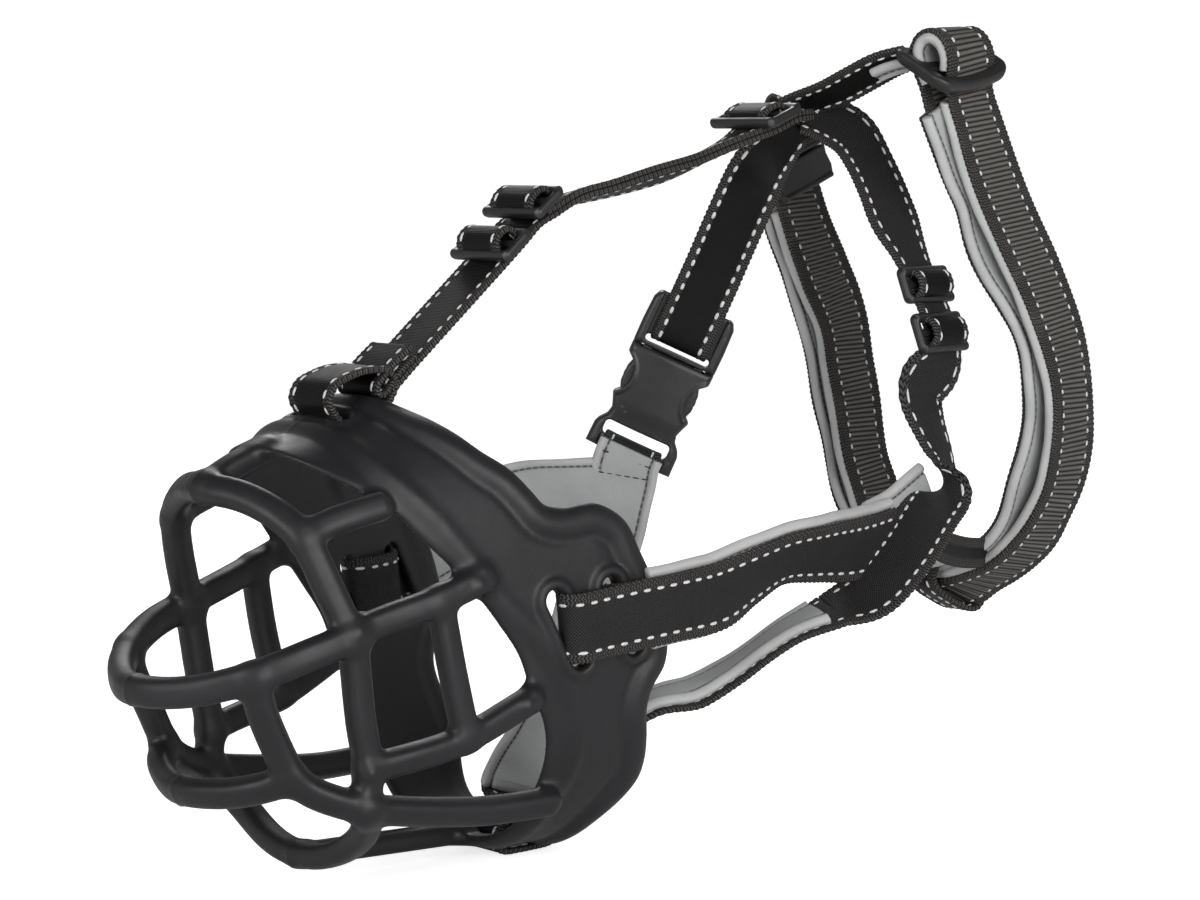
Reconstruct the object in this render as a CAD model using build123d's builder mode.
from build123d import *
import math
import os

# Basket muzzle with a padded harness. Millimetres, +Z up.
# The nose points along -X, the animal's left side is -Y, and the floor is Z = 0.
# The origin is on the floor, on the symmetry plane, under the basket's rear rim.

os.makedirs("parts", exist_ok=True)

# ---- driving dimensions ----
WEB_T = 1.6            # webbing thickness
STRAP_HALF = 10        # half width of the plain straps
PAD_T = 2.4            # pad thickness
PAD_GAP = 0.12         # webbing to pad gap
PAD_MARGIN = 1.6       # pad overhang past each strap edge
PAD_LIFT = WEB_T / 2 + PAD_GAP + PAD_T / 2   # strap middle to pad middle


# ---- shared helpers ----
# A station is (x, y, z, half-width vector x, y, z); a run is a list of stations.
def save(builder, name):
    builder.part.label = name
    export_step(builder.part, f"parts/{name}.step")


def section_planes(run, lift):
    """Section plane and half width at each station, `lift` off the centre line."""
    sections = []
    last = len(run) - 1
    for i, station in enumerate(run):
        before = Vector(*run[max(i - 1, 0)][:3])
        centre = Vector(*station[:3])
        after = Vector(*run[min(i + 1, last)][:3])
        if 0 < i < last:
            tangent = ((centre - before).normalized() + (after - centre).normalized()).normalized()
        else:
            tangent = (after - before).normalized()
        width = Vector(*station[3:])
        half = width.length
        across = (width - tangent * width.dot(tangent)).normalized()
        normal = tangent.cross(across).normalized()
        plane = Plane(origin=centre + normal * lift, x_dir=across, z_dir=tangent)
        sections.append((plane, half))
    return sections


def save_strip(name, run, thickness=WEB_T, lift=0, margin=0, flip=False):
    """Flat strip lofted along a run; `flip` moves it to the other side of the animal."""
    with BuildPart() as layer:
        for plane, half in section_planes(run, lift):
            with BuildSketch(plane):
                Rectangle(2 * (half + margin), thickness)
        loft(ruled=True)
        if flip:
            mirror(about=Plane.XZ, mode=Mode.REPLACE)
    save(layer, name)


def with_width(points, width):
    """Run through (x, y, z) points, all with the same half-width vector."""
    return [point + width for point in points]


def centre_run(points, half_y):
    """Run through (x, z) points on the symmetry plane."""
    return [(x, 0, z, 0, half_y, 0) for x, z in points]


# ---- basket: band dimensions ----
BAR_R = 4.1                 # basket bar radius
BAND_T = 3.6                # band wall thickness
ROUNDNESS = 2.5             # superellipse exponent of the cross-section
RING_POINTS = 36
SLOT_W = 5.6                # width of all strap slots
EAR_SLOT_L = 27.0
EAR_SLOT_TILT = 26.5        # from vertical
EAR_SLOTS = ((-16.6, 70.4), (2.2, 72.6))     # x, z
TOP_SLOT_X, TOP_SLOT_L = -65, 24
BOTTOM_SLOT_X, BOTTOM_SLOT_L = -8.5, 30

# band half width: x, y
HALF_WIDTHS = [(-110, 30.0), (-94, 36.0), (-74, 41.5), (-54, 45.5), (-29, 48.5), (-6, 51.5),
               (19, 53.5), (40, 54.5)]

# stations x of the lofts; the hollow runs past both ends of the outer form
OUTER_X = (-96, -70, -45, -20, 0, 22)
HOLLOW_X = (-97, -70, -45, -20, 0, 23)

# side outline of the band (x, z): front edge downwards, then rear edge upwards
FRONT_EDGE = [
    (-92, 135), (-91, 128), (-88.3, 122.4), (-83.2, 118.2), (-76.6, 113.4), (-67.4, 106.7),
    (-60.7, 98.8), (-53.4, 91.1), (-45.6, 83.0), (-39.0, 74.7), (-31.0, 63.2), (-28.4, 57.0),
    (-23.5, 47.8), (-20.3, 40.1), (-18.9, 32.4), (-18.8, 26.8), (-18.5, 17), (-18.5, 8),
    (-18.5, -6),
]
REAR_EDGE = [
    (8, -6), (8.5, 3), (9.8, 8), (12.0, 12), (14.1, 15.6), (16.8, 21.9), (16.7, 29.3),
    (15.4, 35.7), (13.6, 46.0), (14.5, 49.8), (18.8, 57.3), (19.3, 60.8), (16.2, 76.1),
    (9.0, 91.1), (4.3, 100.0), (-3.9, 104.8), (-17.2, 104.5), (-21.6, 105.6), (-24.7, 109.4),
    (-30.4, 116.3), (-37.1, 121.4), (-41.7, 126.1), (-45.8, 129.8), (-50.5, 134.1),
    (-52, 140), (-52, 150),
]

# bar centre lines (x, y, z) of the left half, in the order they are joined
BAR_RUNS = [
    # across the front at mid height
    [(-84, -39.4, 74.4), (-94.8, -37.8, 71.7), (-105.3, -33.5, 67.7), (-112, -28.6, 64.9),
     (-118.4, -22, 62.3), (-123.0, -14, 60.6), (-126.4, -7, 60.0), (-128.5, 0, 60.2)],
    # arch over the front
    [(-84, -38.6, 74.4), (-90.5, -34.2, 91.1), (-94, -30.5, 101.9), (-96.4, -26.0, 106.2),
     (-98.8, -20, 109.4), (-101, -13, 111.9), (-103.8, -6, 113.0), (-105.8, 0, 113.3)],
    # lower front loop
    [(-98.5, -29.8, 36), (-104.1, -25, 33.7), (-107.2, -18.9, 32), (-109.3, -13.8, 31.1),
     (-112.2, -6, 30.5), (-113.8, 0, 30.4)],
    # bottom loop
    [(-79, -37.6, 26.2), (-74.6, -32.5, 19.3), (-73.1, -26, 14.2), (-73.3, -19.2, 10.4),
     (-73.7, -10.7, 7.4), (-73.6, 0, 6.2)],
    # top side bar
    [(-84, -38.6, 75.4), (-71.2, -40.8, 78.9), (-63, -42.8, 81.0), (-53, -44.6, 84.2),
     (-44.5, -45.4, 87.0)],
    # middle side bar
    [(-78.2, -37.4, 37.3), (-65.5, -41.0, 39.4), (-53.2, -42.8, 41.3), (-43.6, -44.2, 44.4),
     (-37.2, -44.9, 47.1), (-27.4, -46.2, 51.3)],
    # low side bar
    [(-79, -37.6, 26.2), (-57.3, -39.5, 22.6), (-38, -40.5, 20.3), (-17, -42.0, 19.9)],
    # rear side strut
    [(-57.7, -43.6, 82.5), (-54, -44.2, 63.1), (-48.7, -44.0, 42.6)],
    # middle side strut
    [(-84, -38.8, 74.4), (-80.7, -37.8, 50.9), (-78.2, -37.4, 37.3), (-79, -37.6, 26.2)],
    # from the arch back to the band
    [(-94, -30.5, 101.9), (-87.5, -32.0, 104.6), (-79.5, -34.0, 106.9), (-72, -35.5, 108.6)],
    # front strut
    [(-110.5, -30.5, 65.2), (-108.7, -30.0, 57.1), (-106.3, -29.6, 52.4), (-103.4, -29.5, 46.6),
     (-100.7, -29.8, 40.6), (-97.5, -30.6, 35.0), (-88, -34.5, 29.5), (-79, -37.6, 26.2)],
    # top rib, on the symmetry plane
    [(-104.6, 0, 113.6), (-97, 0, 117.6), (-84, 0, 122.6)],
    # bottom rib, on the symmetry plane
    [(-73.6, 0, 6.2), (-37, 0, 4.6), (-14, 0, 3.6)],
]


def half_width(x):
    for (x0, y0), (x1, y1) in zip(HALF_WIDTHS, HALF_WIDTHS[1:]):
        if x <= x1:
            return y0 + (y1 - y0) * (x - x0) / (x1 - x0)


def ring(x, inset):
    """Superellipse (y, z) points of the band at station x."""
    top = 150.9 + 0.30 * x
    bottom = -0.45 - 0.06 * x
    middle = (top + bottom) / 2
    half_y = half_width(x) - inset
    half_z = (top - bottom) / 2 - inset
    points = []
    for i in range(RING_POINTS):
        angle = 2 * math.pi * i / RING_POINTS
        c, s = math.cos(angle), math.sin(angle)
        points.append((half_y * math.copysign(abs(c) ** (2 / ROUNDNESS), c),
                       middle + half_z * math.copysign(abs(s) ** (2 / ROUNDNESS), s)))
    return points


def basket_bar(run):
    with BuildPart() as bar:
        with BuildLine() as path:
            Spline(run)
        with BuildSketch(Plane(origin=path.edge() @ 0, z_dir=path.edge() % 0)):
            Circle(BAR_R)
        sweep(path=path.edge())
    return bar.part


def save_basket():
    bars = [basket_bar(run) for run in BAR_RUNS]
    with BuildPart() as basket:
        # outer form of the band, then its hollow
        for stations, inset, mode in ((OUTER_X, 0.0, Mode.ADD),
                                      (HOLLOW_X, BAND_T, Mode.SUBTRACT)):
            for x in stations:
                with BuildSketch(Plane(origin=(x, 0, 0), x_dir=(0, 1, 0), z_dir=(1, 0, 0))):
                    with BuildLine():
                        Spline(ring(x, inset), periodic=True)
                    make_face()
            loft(mode=mode)
        # side outline, left half only
        with BuildSketch(Plane.XZ):
            with BuildLine():
                Polyline(FRONT_EDGE + REAR_EDGE, close=True)
            make_face()
        extrude(amount=80, mode=Mode.INTERSECT)
        # ear slots
        with BuildSketch(Plane.XZ.offset(40)):
            with Locations(*EAR_SLOTS):
                SlotOverall(EAR_SLOT_L, SLOT_W, rotation=90 + EAR_SLOT_TILT)
        extrude(amount=20, mode=Mode.SUBTRACT)
        # top and bottom slots, across the symmetry plane: cut from z up by depth
        for z, depth, x, length in ((118, 24, TOP_SLOT_X, TOP_SLOT_L),
                                    (-4, 12, BOTTOM_SLOT_X, BOTTOM_SLOT_L)):
            with BuildSketch(Plane.XY.offset(z)):
                with Locations((x, 0)):
                    SlotOverall(length, SLOT_W, rotation=90)
            extrude(amount=depth, mode=Mode.SUBTRACT)
        for bar in bars:
            add(bar)
        # trim on the symmetry plane and on the floor, then mirror
        with Locations((-40, 50, 60)):
            Box(300, 100, 300, mode=Mode.SUBTRACT)
        with Locations((-40, -60, -10)):
            Box(300, 140, 20, mode=Mode.SUBTRACT)
        mirror(about=Plane.XZ)
    save(basket, "basket")


save_basket()

# ---- cheek straps and pads ----
# in at the rear ear slot, round the rib, out at the front slot and back along the cheek
CHEEK = [
    (15, -56, 74, 1.2, 0, -9.9),
    (8, -55.2, 73.3, 1, 0, -9.9),
    (4, -54.2, 72.7, 1, 0, -9.9),
    (2, -52, 72.3, 1, 0, -9.9),
    (0, -48.6, 71.9, 1, 0, -9.9),
    (-3, -46.6, 71.6, 1, 0, -9.9),
    (-8, -45.8, 71.3, 1, 0, -9.9),
    (-13, -45.4, 71.1, 1, 0, -9.9),
    (-16, -46.4, 71, 1, 0, -9.9),
    (-17.6, -49, 70.9, 1, 0, -9.9),
    (-17.8, -51.6, 70.9, 1, 0, -9.9),
    (-16, -53.6, 71, 1, -0.3, -9.9),
    (-6.5, -55, 71.9, 0.24, 0, -10),
    (6.7, -57, 73.3, 0.99, 0, -9.95),
    (19, -58.5, 74.4, 1.74, 0, -9.85),
    (34.1, -59, 75.7, 1.48, 0, -9.89),
    (50.2, -58, 80.1, 4.08, 3.36, -8.49),
    (66.6, -56, 83.6, 5.22, 5.02, -6.89),
    (83.8, -54, 83.5, 4.27, 3.96, -8.13),
    (100.4, -52, 82.8, 0.66, 1.7, -9.83),
    (115.2, -50, 83.6, -1.39, 1.05, -9.85),
]
PAD_START_X = 16       # the pad covers the stations behind this
CHEEK_PAD = [station for station in CHEEK if station[0] > PAD_START_X]

for side, flip in (("left", False), ("right", True)):
    save_strip(f"cheek_strap_{side}", CHEEK, flip=flip)
    save_strip(f"cheek_pad_{side}", CHEEK_PAD, thickness=PAD_T, lift=PAD_LIFT,
               margin=PAD_MARGIN, flip=flip)

# ---- left head strap: from the crown down, past the left junction ----
NAPE_LEFT = [
    (132.5, 6, 215.9, -8.96, -2.01, -3.96),
    (138.9, 1, 214.5, -8.9, 0, -4.56),
    (145.3, -5, 210.5, -8.6, 0, -5.1),
    (148.2, -10, 201.8, -9.51, 0, -3.1),
    (148.1, -18, 189.5, -9.42, -0.65, -3.28),
    (146.9, -24, 180.2, -9.25, -0.95, -3.68),
    (147.8, -29, 171.4, -9.78, -1.52, 0.07),
    (149.5, -41.5, 137.1, -9.78, -1.52, 0.07),
    (137.7, -43, 129, -10, -0.1, -0.27),
    (140.2, -45, 118.4, -9.61, -2.5, -1.15),
    (144.7, -46, 109.3, -9.05, -4.25, -0.34),
    (144.1, -48, 101.5, -9.49, -2.91, 1.25),
    (133.2, -50, 91.6, -2.16, -9.76, -0.34),
    (119.8, -50, 79.6, -3.01, -9.45, 1.26),
    (104.6, -50, 68.8, -4.78, -8.66, 1.46),
    (92.3, -49, 65.6, -4.77, -8.78, 0.28),
]
save_strip("nape_strap_left", NAPE_LEFT)

# ---- release buckle, on the right ----
# frame: x across the strap, y up the strap, z towards the inside of the harness
BUCKLE_ORIGIN = Vector(108.2, 38.8, 136.8)
BUCKLE_UP = Vector(0.259, -0.330, 0.908).normalized()
BUCKLE_ACROSS = Vector(0.65, -0.65, -0.39)
BUCKLE_ACROSS = (BUCKLE_ACROSS - BUCKLE_UP * BUCKLE_ACROSS.dot(BUCKLE_UP)).normalized()
BUCKLE_INWARD = BUCKLE_ACROSS.cross(BUCKLE_UP)
BUCKLE = Plane(origin=BUCKLE_ORIGIN, x_dir=BUCKLE_ACROSS, z_dir=BUCKLE_INWARD)

BUCKLE_T = 9.0              # thickness of socket and plug
CAVITY_T = 6.0              # depth of the socket's cavity
SOCKET_OPENING = 22.6       # width of the socket's strap slot
SOCKET_BAR_T = 4.4          # thickness of the socket's strap bar
SOCKET_BAR_CUT = 6.0        # depth of the cuts that thin the bar
PLUG_OPENING = 22.8         # width of the plug's window
PLUG_BAR_Y = 7.6
PLUG_BAR_R = 1.5
PLUG_BAR_L = 23.2
ARM_T = 5.4

# outlines (x, y) in the buckle frame; socket and plug are symmetric in x
SOCKET_SIDE = [(14.5, 0), (14.2, -17), (11.8, -22.5), (12.2, -25.5), (14.8, -29.5), (14.8, -35)]
PLUG_SIDE = [(14.5, 0.1), (14.3, 12), (13.6, 17.4)]
ARM = [(7.6, -0.4), (10.6, -0.4), (10.9, -4.2), (13.2, -5.6), (14.9, -8.5), (15.2, -11),
       (14.6, -14), (12.9, -16.4), (11.0, -17.4), (9.2, -17.8), (8.6, -14), (7.8, -8)]


def flip_x(points):
    return [(-x, y) for x, y in points]


def both_sides(side):
    """Closed outline from its +x side, starting at the first corner on the -x side."""
    other = flip_x(side)
    return other[:1] + side + other[:0:-1]


def save_buckle_socket():
    with BuildPart() as socket:
        with BuildSketch(BUCKLE.offset(-BUCKLE_T / 2)):
            with BuildLine():
                Polyline(both_sides(SOCKET_SIDE), close=True)
            make_face()
        extrude(amount=BUCKLE_T)
        # cavity for the plug's arms
        with BuildSketch(BUCKLE.offset(-CAVITY_T / 2)):
            with Locations((0, -10)):
                Rectangle(23.2, 20.4)
        extrude(amount=CAVITY_T, mode=Mode.SUBTRACT)
        # side windows
        with BuildSketch(BUCKLE.offset(-BUCKLE_T)):
            with Locations((-15.5, -11), (15.5, -11)):
                Circle(8.0)
        extrude(amount=2 * BUCKLE_T, mode=Mode.SUBTRACT)
        # strap slot, then the strap bar thinned from both faces
        with BuildSketch(BUCKLE.offset(-BUCKLE_T)):
            with Locations((0, -29.2)):
                Rectangle(SOCKET_OPENING, 4.2)
        extrude(amount=2 * BUCKLE_T, mode=Mode.SUBTRACT)
        for z in (SOCKET_BAR_T / 2, -SOCKET_BAR_T / 2 - SOCKET_BAR_CUT):
            with BuildSketch(BUCKLE.offset(z)):
                with Locations((0, -33)):
                    Rectangle(SOCKET_OPENING, 5.0)
            extrude(amount=SOCKET_BAR_CUT, mode=Mode.SUBTRACT)
    save(socket, "buckle_socket")


def save_buckle_plug():
    with BuildPart() as plug:
        with BuildSketch(BUCKLE.offset(-BUCKLE_T / 2)):
            with BuildLine():
                Polyline(both_sides(PLUG_SIDE), close=True)
            make_face()
        extrude(amount=BUCKLE_T)
        # window through the plug
        with BuildSketch(BUCKLE.offset(-BUCKLE_T)):
            with Locations((0, 8.4)):
                Rectangle(PLUG_OPENING, 10.4)
        extrude(amount=2 * BUCKLE_T, mode=Mode.SUBTRACT)
        # upper end cut away down to a thin wall on the outer face
        with BuildSketch(BUCKLE.offset(-3.5)):
            with Locations((0, 15.6)):
                Rectangle(PLUG_OPENING, 4.4)
        extrude(amount=12, mode=Mode.SUBTRACT)
        # round strap bar
        bar_end = BUCKLE_ORIGIN + BUCKLE_UP * PLUG_BAR_Y - BUCKLE_ACROSS * (PLUG_BAR_L / 2)
        with BuildSketch(Plane(origin=bar_end, z_dir=BUCKLE_ACROSS)):
            Circle(PLUG_BAR_R)
        extrude(amount=PLUG_BAR_L)
    save(plug, "buckle_plug")


def save_release_arm(name, outline):
    with BuildPart() as arm:
        with BuildSketch(BUCKLE.offset(-ARM_T / 2)):
            with BuildLine():
                Polyline(outline, close=True)
            make_face()
        extrude(amount=ARM_T)
    save(arm, name)


save_buckle_socket()
save_buckle_plug()
save_release_arm("release_arm_front", flip_x(ARM))
save_release_arm("release_arm_rear", ARM)


# ---- right head strap: tail, round the plug's bar, up to the crown ----
def buckle_run(points, width_sign):
    """Run through (y, z) points of the buckle frame."""
    run = []
    width = BUCKLE_ACROSS * (STRAP_HALF * width_sign)
    for y, z in points:
        centre = BUCKLE_ORIGIN + BUCKLE_UP * y + BUCKLE_INWARD * z
        run.append((centre.X, centre.Y, centre.Z, width.X, width.Y, width.Z))
    return run


# buckle frame y, z
PLUG_WRAP = [(32, -2.4), (22, -2.4), (14, -2.4), (9.5, -2.4), (6.6, -2.2), (5.5, -1.2),
             (5.2, 0), (5.5, 1.2), (6.6, 2.2), (9.5, 2.4), (14, 2.4), (20, 2.4)]
BUCKLE_TO_CROWN = [
    (114.3, 26, 166.3, 6.81, -6.76, -2.82),
    (116.7, 20, 180.1, 6.68, -6.66, -3.32),
    (118.6, 14, 192.5, 6.62, -6.69, -3.37),
    (119.5, 10, 199.4, 8.4, -4.14, -3.5),
]
save_strip("nape_strap_right", buckle_run(PLUG_WRAP, 1) + BUCKLE_TO_CROWN)

# ---- throat strap: from the left, under the jaw, up to the socket's bar on the right ----
THROAT_LEFT = [
    NAPE_LEFT[-1],
    (76.6, -47, 59, -5.49, -8.36, -0.22),
    (65.3, -45.5, 53.7, -5.42, -8.4, 0.02),
    (53, -43.5, 48, -5.8, -8.09, -0.97),
    (41.8, -41, 43.7, -5.9, -7.9, -1.66),
    (28.1, -37, 41.1, -6.54, -7.48, -1.13),
]
THROAT_BOTTOM = [
    (19, -27, 29, -8.4, -5, -1.2),
    (13, -18, 19, -9.4, -3, -1),
    (10, -8, 12.2, -9.9, -1, -0.6),
    (10, 4, 10.2, -9.9, 0.8, 1.5),
]
THROAT_RIGHT = [
    (21.1, 16, 11.5, -8.6, 3.45, 3.77),
    (44.1, 28, 25.6, -8.64, 3.3, 3.81),
    (64.4, 38, 42.8, -8.39, 5.1, 1.9),
    (78.8, 45, 63.4, -7.22, 6.78, 1.39),
    (90.6, 49, 81.8, -7.22, 6.79, 1.35),
    (95.7, 50, 96.2, -6.86, 6.68, 2.87),
]
# buckle frame y, z
SOCKET_WRAP = [(-36, 3.1), (-33.5, 3.1), (-30.6, 2.6), (-29.4, 1.2), (-29.2, 0), (-29.4, -1.2),
               (-30.6, -2.6), (-33.5, -3.1), (-40, -3.1)]
THROAT = THROAT_LEFT + THROAT_BOTTOM + THROAT_RIGHT + buckle_run(SOCKET_WRAP, -1)

save_strip("throat_strap", THROAT)
for name, run in (("throat_pad_left", THROAT[:8]), ("throat_pad_right", THROAT[9:16])):
    save_strip(name, run, thickness=PAD_T, lift=PAD_LIFT, margin=PAD_MARGIN)

# loop that holds the throat strap in the band's bottom slot: x, z
THROAT_LOOP = [(-2, 6.4), (-5.5, 5.6), (-7.6, 3.4), (-8.4, 0.2), (-6.2, -1.9), (-1, -2.6),
               (6, -2.6), (12.5, -1.8), (16.2, 1.0), (17.4, 5.0), (16, 8.0)]
save_strip("throat_loop", centre_run(THROAT_LOOP, STRAP_HALF))

# ---- forehead straps, on the symmetry plane: x, z ----
# loop through the band's top slot
FOREHEAD_LOOP = [(-57, 126.6), (-61.5, 127.6), (-64.6, 129.2), (-68.6, 132.4), (-69.4, 135.8),
                 (-66, 139.2), (-58, 141.2), (-50, 141.9), (-46.4, 140.6), (-46.0, 137.4),
                 (-48.4, 133.0), (-53, 129.4)]
# straight between the first two points, then bending to meet the upper run
FOREHEAD_LOWER = [(-43.6, 139.6), (3.2, 178.2), (9.0, 183.6), (16, 187.0)]
# upper run, of double thickness
FOREHEAD_UPPER = [(16.0, 187.0), (22.5, 188.1), (40.6, 192.5), (57, 195.7), (74.3, 199.3),
                  (89.8, 204.3), (102.9, 209), (106, 210.6)]
LOWER_RUN = centre_run(FOREHEAD_LOWER, -STRAP_HALF)

save_strip("forehead_loop", centre_run(FOREHEAD_LOOP, -STRAP_HALF))
save_strip("forehead_strap_lower", LOWER_RUN)
save_strip("forehead_strap_upper", centre_run(FOREHEAD_UPPER, -STRAP_HALF),
           thickness=2 * WEB_T)

# ---- running glides: side rails, two bars under the strap and one over it ----
GLIDE_W = 26.0              # width over the side rails
GLIDE_L = 11.0              # length along the strap
GLIDE_T = 5.2
GLIDE_CORNER = 1.5
GLIDE_OPENING = 21.0        # between the side rails
UNDER_BAR_L = 2.2           # each bar under the strap, along the strap
OVER_BAR_L = 2.4            # the bar over the strap, along the strap
OVER_BAR_W = 22.0           # reaches into both side rails
RUN_GAP = 0.25              # glide bar to webbing clearance
BAR_LEVEL = WEB_T / 2 + RUN_GAP     # strap middle to the near face of each bar


def glide_plane(start, end, distance):
    """Plane at a distance from start towards end; x across the strap, z out of its outer face."""
    origin = Vector(*start[:3])
    along = (Vector(*end[:3]) - origin).normalized()
    width = Vector(*start[3:])
    across = (width - along * width.dot(along)).normalized()
    return Plane(origin=origin + along * distance, x_dir=across, z_dir=across.cross(along))


def save_running_glide(name, plane):
    with BuildPart() as glide:
        with BuildSketch(plane.offset(-GLIDE_T / 2)):
            RectangleRounded(GLIDE_W, GLIDE_L, GLIDE_CORNER)
        extrude(amount=GLIDE_T)
        # window between the under bars
        with BuildSketch(plane.offset(-4)):
            Rectangle(GLIDE_OPENING, GLIDE_L - 2 * UNDER_BAR_L)
        extrude(amount=8, mode=Mode.SUBTRACT)
        # strap channel, open to the outside
        with BuildSketch(plane.offset(-BAR_LEVEL)):
            Rectangle(GLIDE_OPENING, GLIDE_L + 1)
        extrude(amount=6, mode=Mode.SUBTRACT)
        # bar over the strap
        with BuildSketch(plane.offset(BAR_LEVEL)):
            Rectangle(OVER_BAR_W, OVER_BAR_L)
        extrude(amount=GLIDE_T / 2 - BAR_LEVEL)
    save(glide, name)


save_running_glide("forehead_glide", glide_plane(LOWER_RUN[0], LOWER_RUN[1], 50.5))
for name, distance in (("nape_glide_upper", 8.5), ("nape_glide_lower", 28.0)):
    save_running_glide(name, glide_plane(NAPE_LEFT[6], NAPE_LEFT[7], distance))


# ---- flat glides: a plate with two slots ----
def save_flat_glide(name, plane, width, length, corner, slot_width, slot_length, slot_offset,
                    thickness):
    with BuildPart() as glide:
        with BuildSketch(plane.offset(-thickness / 2)):
            RectangleRounded(width, length, corner)
            with Locations((0, slot_offset), (0, -slot_offset)):
                Rectangle(slot_width, slot_length, mode=Mode.SUBTRACT)
        extrude(amount=thickness)
    save(glide, name)


# above the bend between the lower and upper forehead runs
save_flat_glide(
    "forehead_fold_glide",
    Plane(origin=(10.0, 0, 189.4), x_dir=(0, -1, 0), z_dir=(-0.62, 0, 0.78)),
    width=GLIDE_W, length=12, corner=GLIDE_CORNER,
    slot_width=GLIDE_OPENING, slot_length=2.6, slot_offset=3, thickness=2.4)

# over the upper end of the forehead strap
save_flat_glide(
    "crown_glide",
    Plane(origin=(107, 0, 215.0), x_dir=(0, -1, 0), z_dir=(-0.36, 0, 0.93)),
    width=28, length=14, corner=2,
    slot_width=22, slot_length=3, slot_offset=3.4, thickness=2.4)

# at the upper left end of the collar
save_flat_glide(
    "collar_glide",
    Plane(origin=(147.3, -46.4, 231.6), x_dir=(0.99, 0, 0.13), z_dir=(-0.13, 0, 0.99)),
    width=38, length=21, corner=4,
    slot_width=28, slot_length=4.2, slot_offset=3.9, thickness=2.8)

# ---- collar: left halves from the top down to the symmetry plane ----
COLLAR_OUTER = [
    (151.6, -50, 224, 10.88, 0.8, 1.42),
    (156.4, -50, 212.8, 10.91, 0.55, 1.33),
    (162.2, -50, 201.1, 11, 0, -0.02),
    (169.3, -50.5, 188.1, 10.91, 0, 1.44),
    (175.7, -51.5, 177.2, 10.95, 0, 1.04),
    (182.8, -52.5, 166, 10.99, 0, 0.49),
    (188.7, -53.5, 154.8, 11, 0.15, -0.05),
    (194.5, -54, 143.1, 10.95, 0.4, -0.96),
    (198.6, -54, 131.6, 10.94, 1, -0.59),
    (201, -53.5, 117.4, 10.92, 1.15, -0.72),
    (202.9, -51, 103.9, 10.95, 0.7, -0.79),
    (202.8, -48, 92.9, 10.72, 1.35, -2.08),
    (201.3, -44, 83.8, 10.4, 1.91, -3.03),
    (200.4, -38.5, 74.9, 10.19, 1.76, -3.75),
    (199.1, -32, 68.2, 10.04, 2.55, -3.71),
    (198.5, -25, 63.4, 9.82, 3.5, -3.5),
    (198.3, -16, 59.2, 9, 5.05, -3.81),
    (198.2, -7, 55.1, 7.78, 6.05, -4.89),
    (198.7, 0, 53.6, 7.09, 7.58, -3.65),
]
COLLAR_INNER = [
    (146.1, -43.5, 220.2, 10.97, 0, 0.75),
    (153.1, -43, 209, 10.98, 0, 0.66),
    (160.1, -42.5, 197.9, 10.96, 0, 0.89),
    (165.2, -42.5, 190.6, 10.97, 0, 0.83),
    (171.7, -42, 175.3, 10.96, 0, 0.89),
    (176.2, -42.5, 168.3, 10.98, 0, 0.68),
    (182.9, -44, 159.3, 10.99, 0, 0.47),
    (188.9, -45, 151.5, 11, 0.15, 0.26),
    (193.4, -45.5, 141.9, 10.99, 0.3, -0.15),
    (195.5, -45.5, 131.4, 10.98, 0.45, -0.4),
    (198, -44, 116.9, 10.96, 0.6, -0.68),
    (197.9, -42, 106.5, 10.94, 0.35, -1.07),
    (197.2, -39, 97, 10.83, 0.65, -1.83),
    (198.1, -35, 86.9, 10.67, 1.36, -2.3),
    (197.7, -31, 78.5, 10.41, 1.8, -3.07),
    (195.8, -25, 71.1, 10.08, 2.41, -3.68),
    (194.8, -16, 66.8, 9.79, 2.41, -4.39),
    (194.8, -7, 63.3, 9.42, 3.26, -4.65),
    (194.5, 0, 61.5, 9.26, 3.61, -4.7),
]
RIGHT_TOP_Z = 192           # the right half stops below this, under the collar buckle
LEVEL_Y = 30                # nearer the symmetry plane than this, the width has no y part
COLLAR_MARGIN = 1.0         # collar pad overhang past each strap edge
INNER_LIFT = -0.6           # inner strap's middle, off its centre line


def collar_run(left):
    """Left half from the top down, then the mirrored half up to the collar buckle."""
    right = [(x, -y, z, wx, -wy, wz)
             for x, y, z, wx, wy, wz in reversed(left[:-1]) if z < RIGHT_TOP_Z]
    return [(x, y, z, wx, 0.0 if abs(y) < LEVEL_Y else wy, wz)
            for x, y, z, wx, wy, wz in left + right]


# folded end through the collar glide: x, y, z
FOLD = [(148.4, -50.2, 230.6), (147.2, -50.1, 234), (146.4, -48.8, 236.8), (146, -46.4, 238),
        (145.8, -44, 236.8), (145.9, -42.8, 234), (146.4, -42.6, 228), (148, -42.6, 222)]
OUTER_RUN = collar_run(COLLAR_OUTER)
INNER_RUN = collar_run(COLLAR_INNER)

# the outer pad lies inside the outer strap, the inner pad outside the inner strap
save_strip("collar_strap_outer", [FOLD[0] + (10.9, 0.8, 1.4)] + OUTER_RUN)
save_strip("collar_pad_outer", OUTER_RUN, thickness=PAD_T, lift=-PAD_LIFT,
           margin=COLLAR_MARGIN)
save_strip("collar_strap_inner", INNER_RUN, lift=INNER_LIFT)
save_strip("collar_pad_inner", INNER_RUN, thickness=PAD_T, lift=PAD_LIFT + INNER_LIFT,
           margin=COLLAR_MARGIN)
save_strip("collar_fold", with_width(FOLD, (10.9, 0.5, 1.4)))

# link across the nape, from the crown towards the collar glide: x, y, z
LINK = [(134.9, 3, 217.1), (136.4, -8, 218.4), (136.7, -19, 222.8), (135.8, -30, 227.7)]
save_strip("collar_link", with_width(LINK, (7.6, -1, -6.4)))

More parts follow.
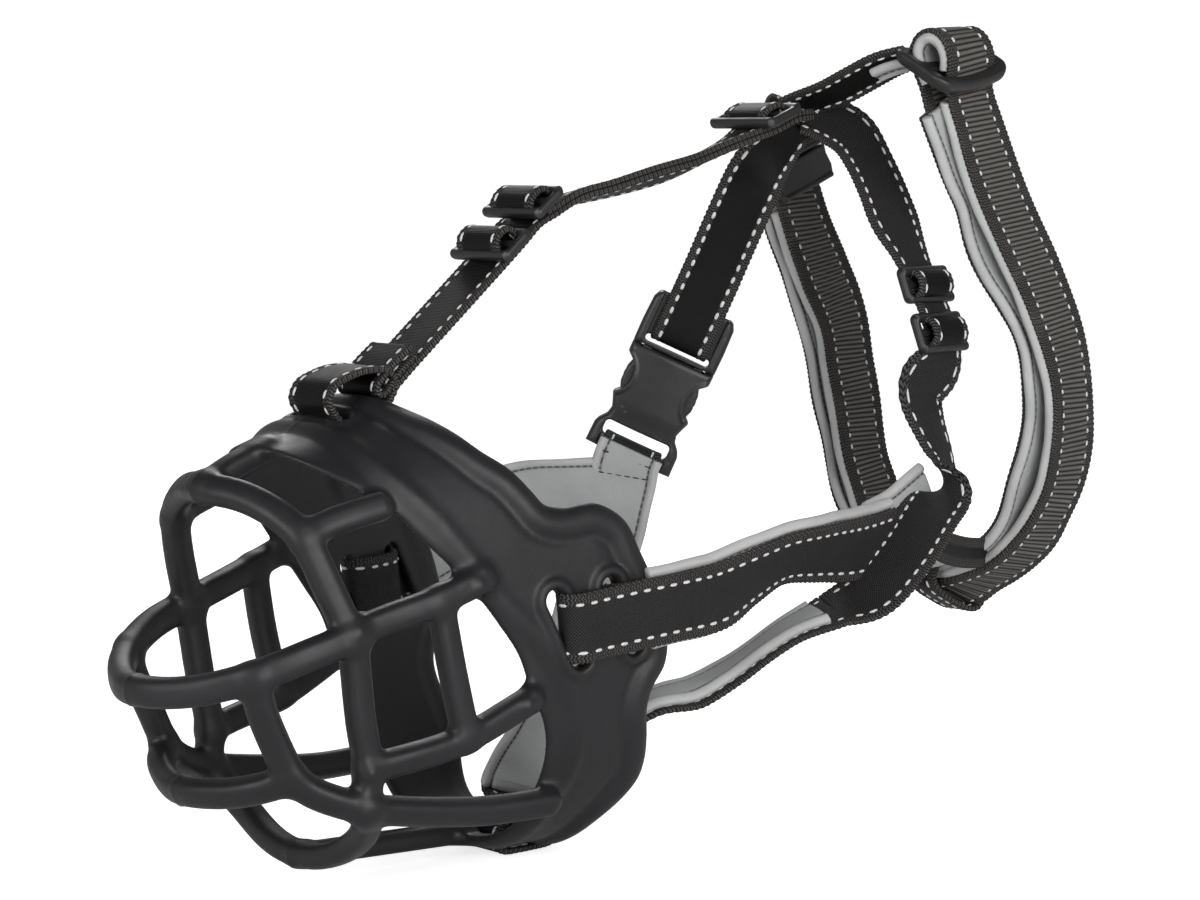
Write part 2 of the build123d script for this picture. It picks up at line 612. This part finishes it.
# ---- collar buckle, on the right: x fore and aft, y up, z towards the left ----
COLLAR_BUCKLE = Plane(origin=(170.0, 42.6, 197.0), x_dir=(0.93, 0, 0.36), z_dir=(0, -1, 0))
CATCH_W = 27                # width of socket and plug
CATCH_T = 6.4               # thickness of socket and plug
CATCH_CORNER = 1.5
CATCH_CAVITY_W = 19
CATCH_CAVITY_T = 3.2
CATCH_GAP = 0.06            # tongue to cavity clearance, each side
TONGUE_W = CATCH_CAVITY_W - 2 * CATCH_GAP
TONGUE_T = CATCH_CAVITY_T - 2 * CATCH_GAP


def save_collar_buckle_socket():
    with BuildPart() as socket:
        with BuildSketch(COLLAR_BUCKLE.offset(-CATCH_T / 2)):
            RectangleRounded(CATCH_W, 12, CATCH_CORNER)
        extrude(amount=CATCH_T)
        # cavity, open at the top
        with BuildSketch(COLLAR_BUCKLE.offset(-CATCH_CAVITY_T / 2)):
            with Locations((0, 3)):
                Rectangle(CATCH_CAVITY_W, 12)
        extrude(amount=CATCH_CAVITY_T, mode=Mode.SUBTRACT)
    save(socket, "collar_buckle_socket")


def save_collar_buckle_plug():
    with BuildPart() as plug:
        # head with a strap slot
        with BuildSketch(COLLAR_BUCKLE.offset(-CATCH_T / 2)):
            with Locations((0, 10.6)):
                RectangleRounded(CATCH_W, 9, CATCH_CORNER)
            with Locations((0, 11.4)):
                Rectangle(22, 2.8, mode=Mode.SUBTRACT)
        extrude(amount=CATCH_T)
        # tongue
        with BuildSketch(COLLAR_BUCKLE.offset(-TONGUE_T / 2)):
            with Locations((0, 2.4)):
                Rectangle(TONGUE_W, 9)
        extrude(amount=TONGUE_T)
    save(plug, "collar_buckle_plug")


save_collar_buckle_socket()
save_collar_buckle_plug()

# top of the collar: from behind the crown to the plug's slot, with its end folded back
COLLAR_TOP = [
    (139.5, 12.5, 219.6, 7.9, -3, -4.4),
    (143, 18, 219.8, 8.6, -2.6, -2.4),
    (150, 26, 218.6, 9.0, -2, -0.4),
    (157, 33, 215.8, 8.9, -1, 1.8),
    (162, 36.8, 212.6, 8.8, 0, 3.2),
    (165.3, 39.6, 209.0, 8.8, 0, 3.4),
    (165.9, 42.6, 207.6, 8.8, 0, 3.4),
    (165.3, 45.9, 208.9, 8.8, 0, 3.4),
    (163.0, 47.4, 215.0, 8.8, 0, 3.4),
]
save_strip("collar_top_strap", COLLAR_TOP)

# ---- keeper round both collar runs at their lowest point ----
KEEPER = Plane(origin=(196.6, -3.5, 57.6), x_dir=(0.89, 0, -0.45), z_dir=(0, 1, 0))
KEEPER_W = 29.0
KEEPER_H = 12.0
KEEPER_WALL = 1.3
KEEPER_L = 12               # along the collar


def save_keeper_loop():
    with BuildPart() as keeper:
        with BuildSketch(KEEPER.offset(-KEEPER_L / 2)):
            RectangleRounded(KEEPER_W, KEEPER_H, 4)
            RectangleRounded(KEEPER_W - 2 * KEEPER_WALL, KEEPER_H - 2 * KEEPER_WALL, 3,
                             mode=Mode.SUBTRACT)
        extrude(amount=KEEPER_L)
    save(keeper, "keeper_loop")


save_keeper_loop()

# strap from the left junction to the keeper
KEEPER_RUN = [
    (131, -49, 90, 2.4, 3.0, -3.2),
    (141, -44.5, 85.5, 1.8, 2.2, -4.1),
    (155, -37, 79.5, 1.4, 1.6, -4.5),
    (171, -27, 74, 1.0, 1.4, -4.7),
    (184, -16.5, 69.5, 1.6, 1.8, -4.4),
    (191, -8, 66.5, 3.0, 2.4, -3.2),
]
save_strip("keeper_strap", KEEPER_RUN)
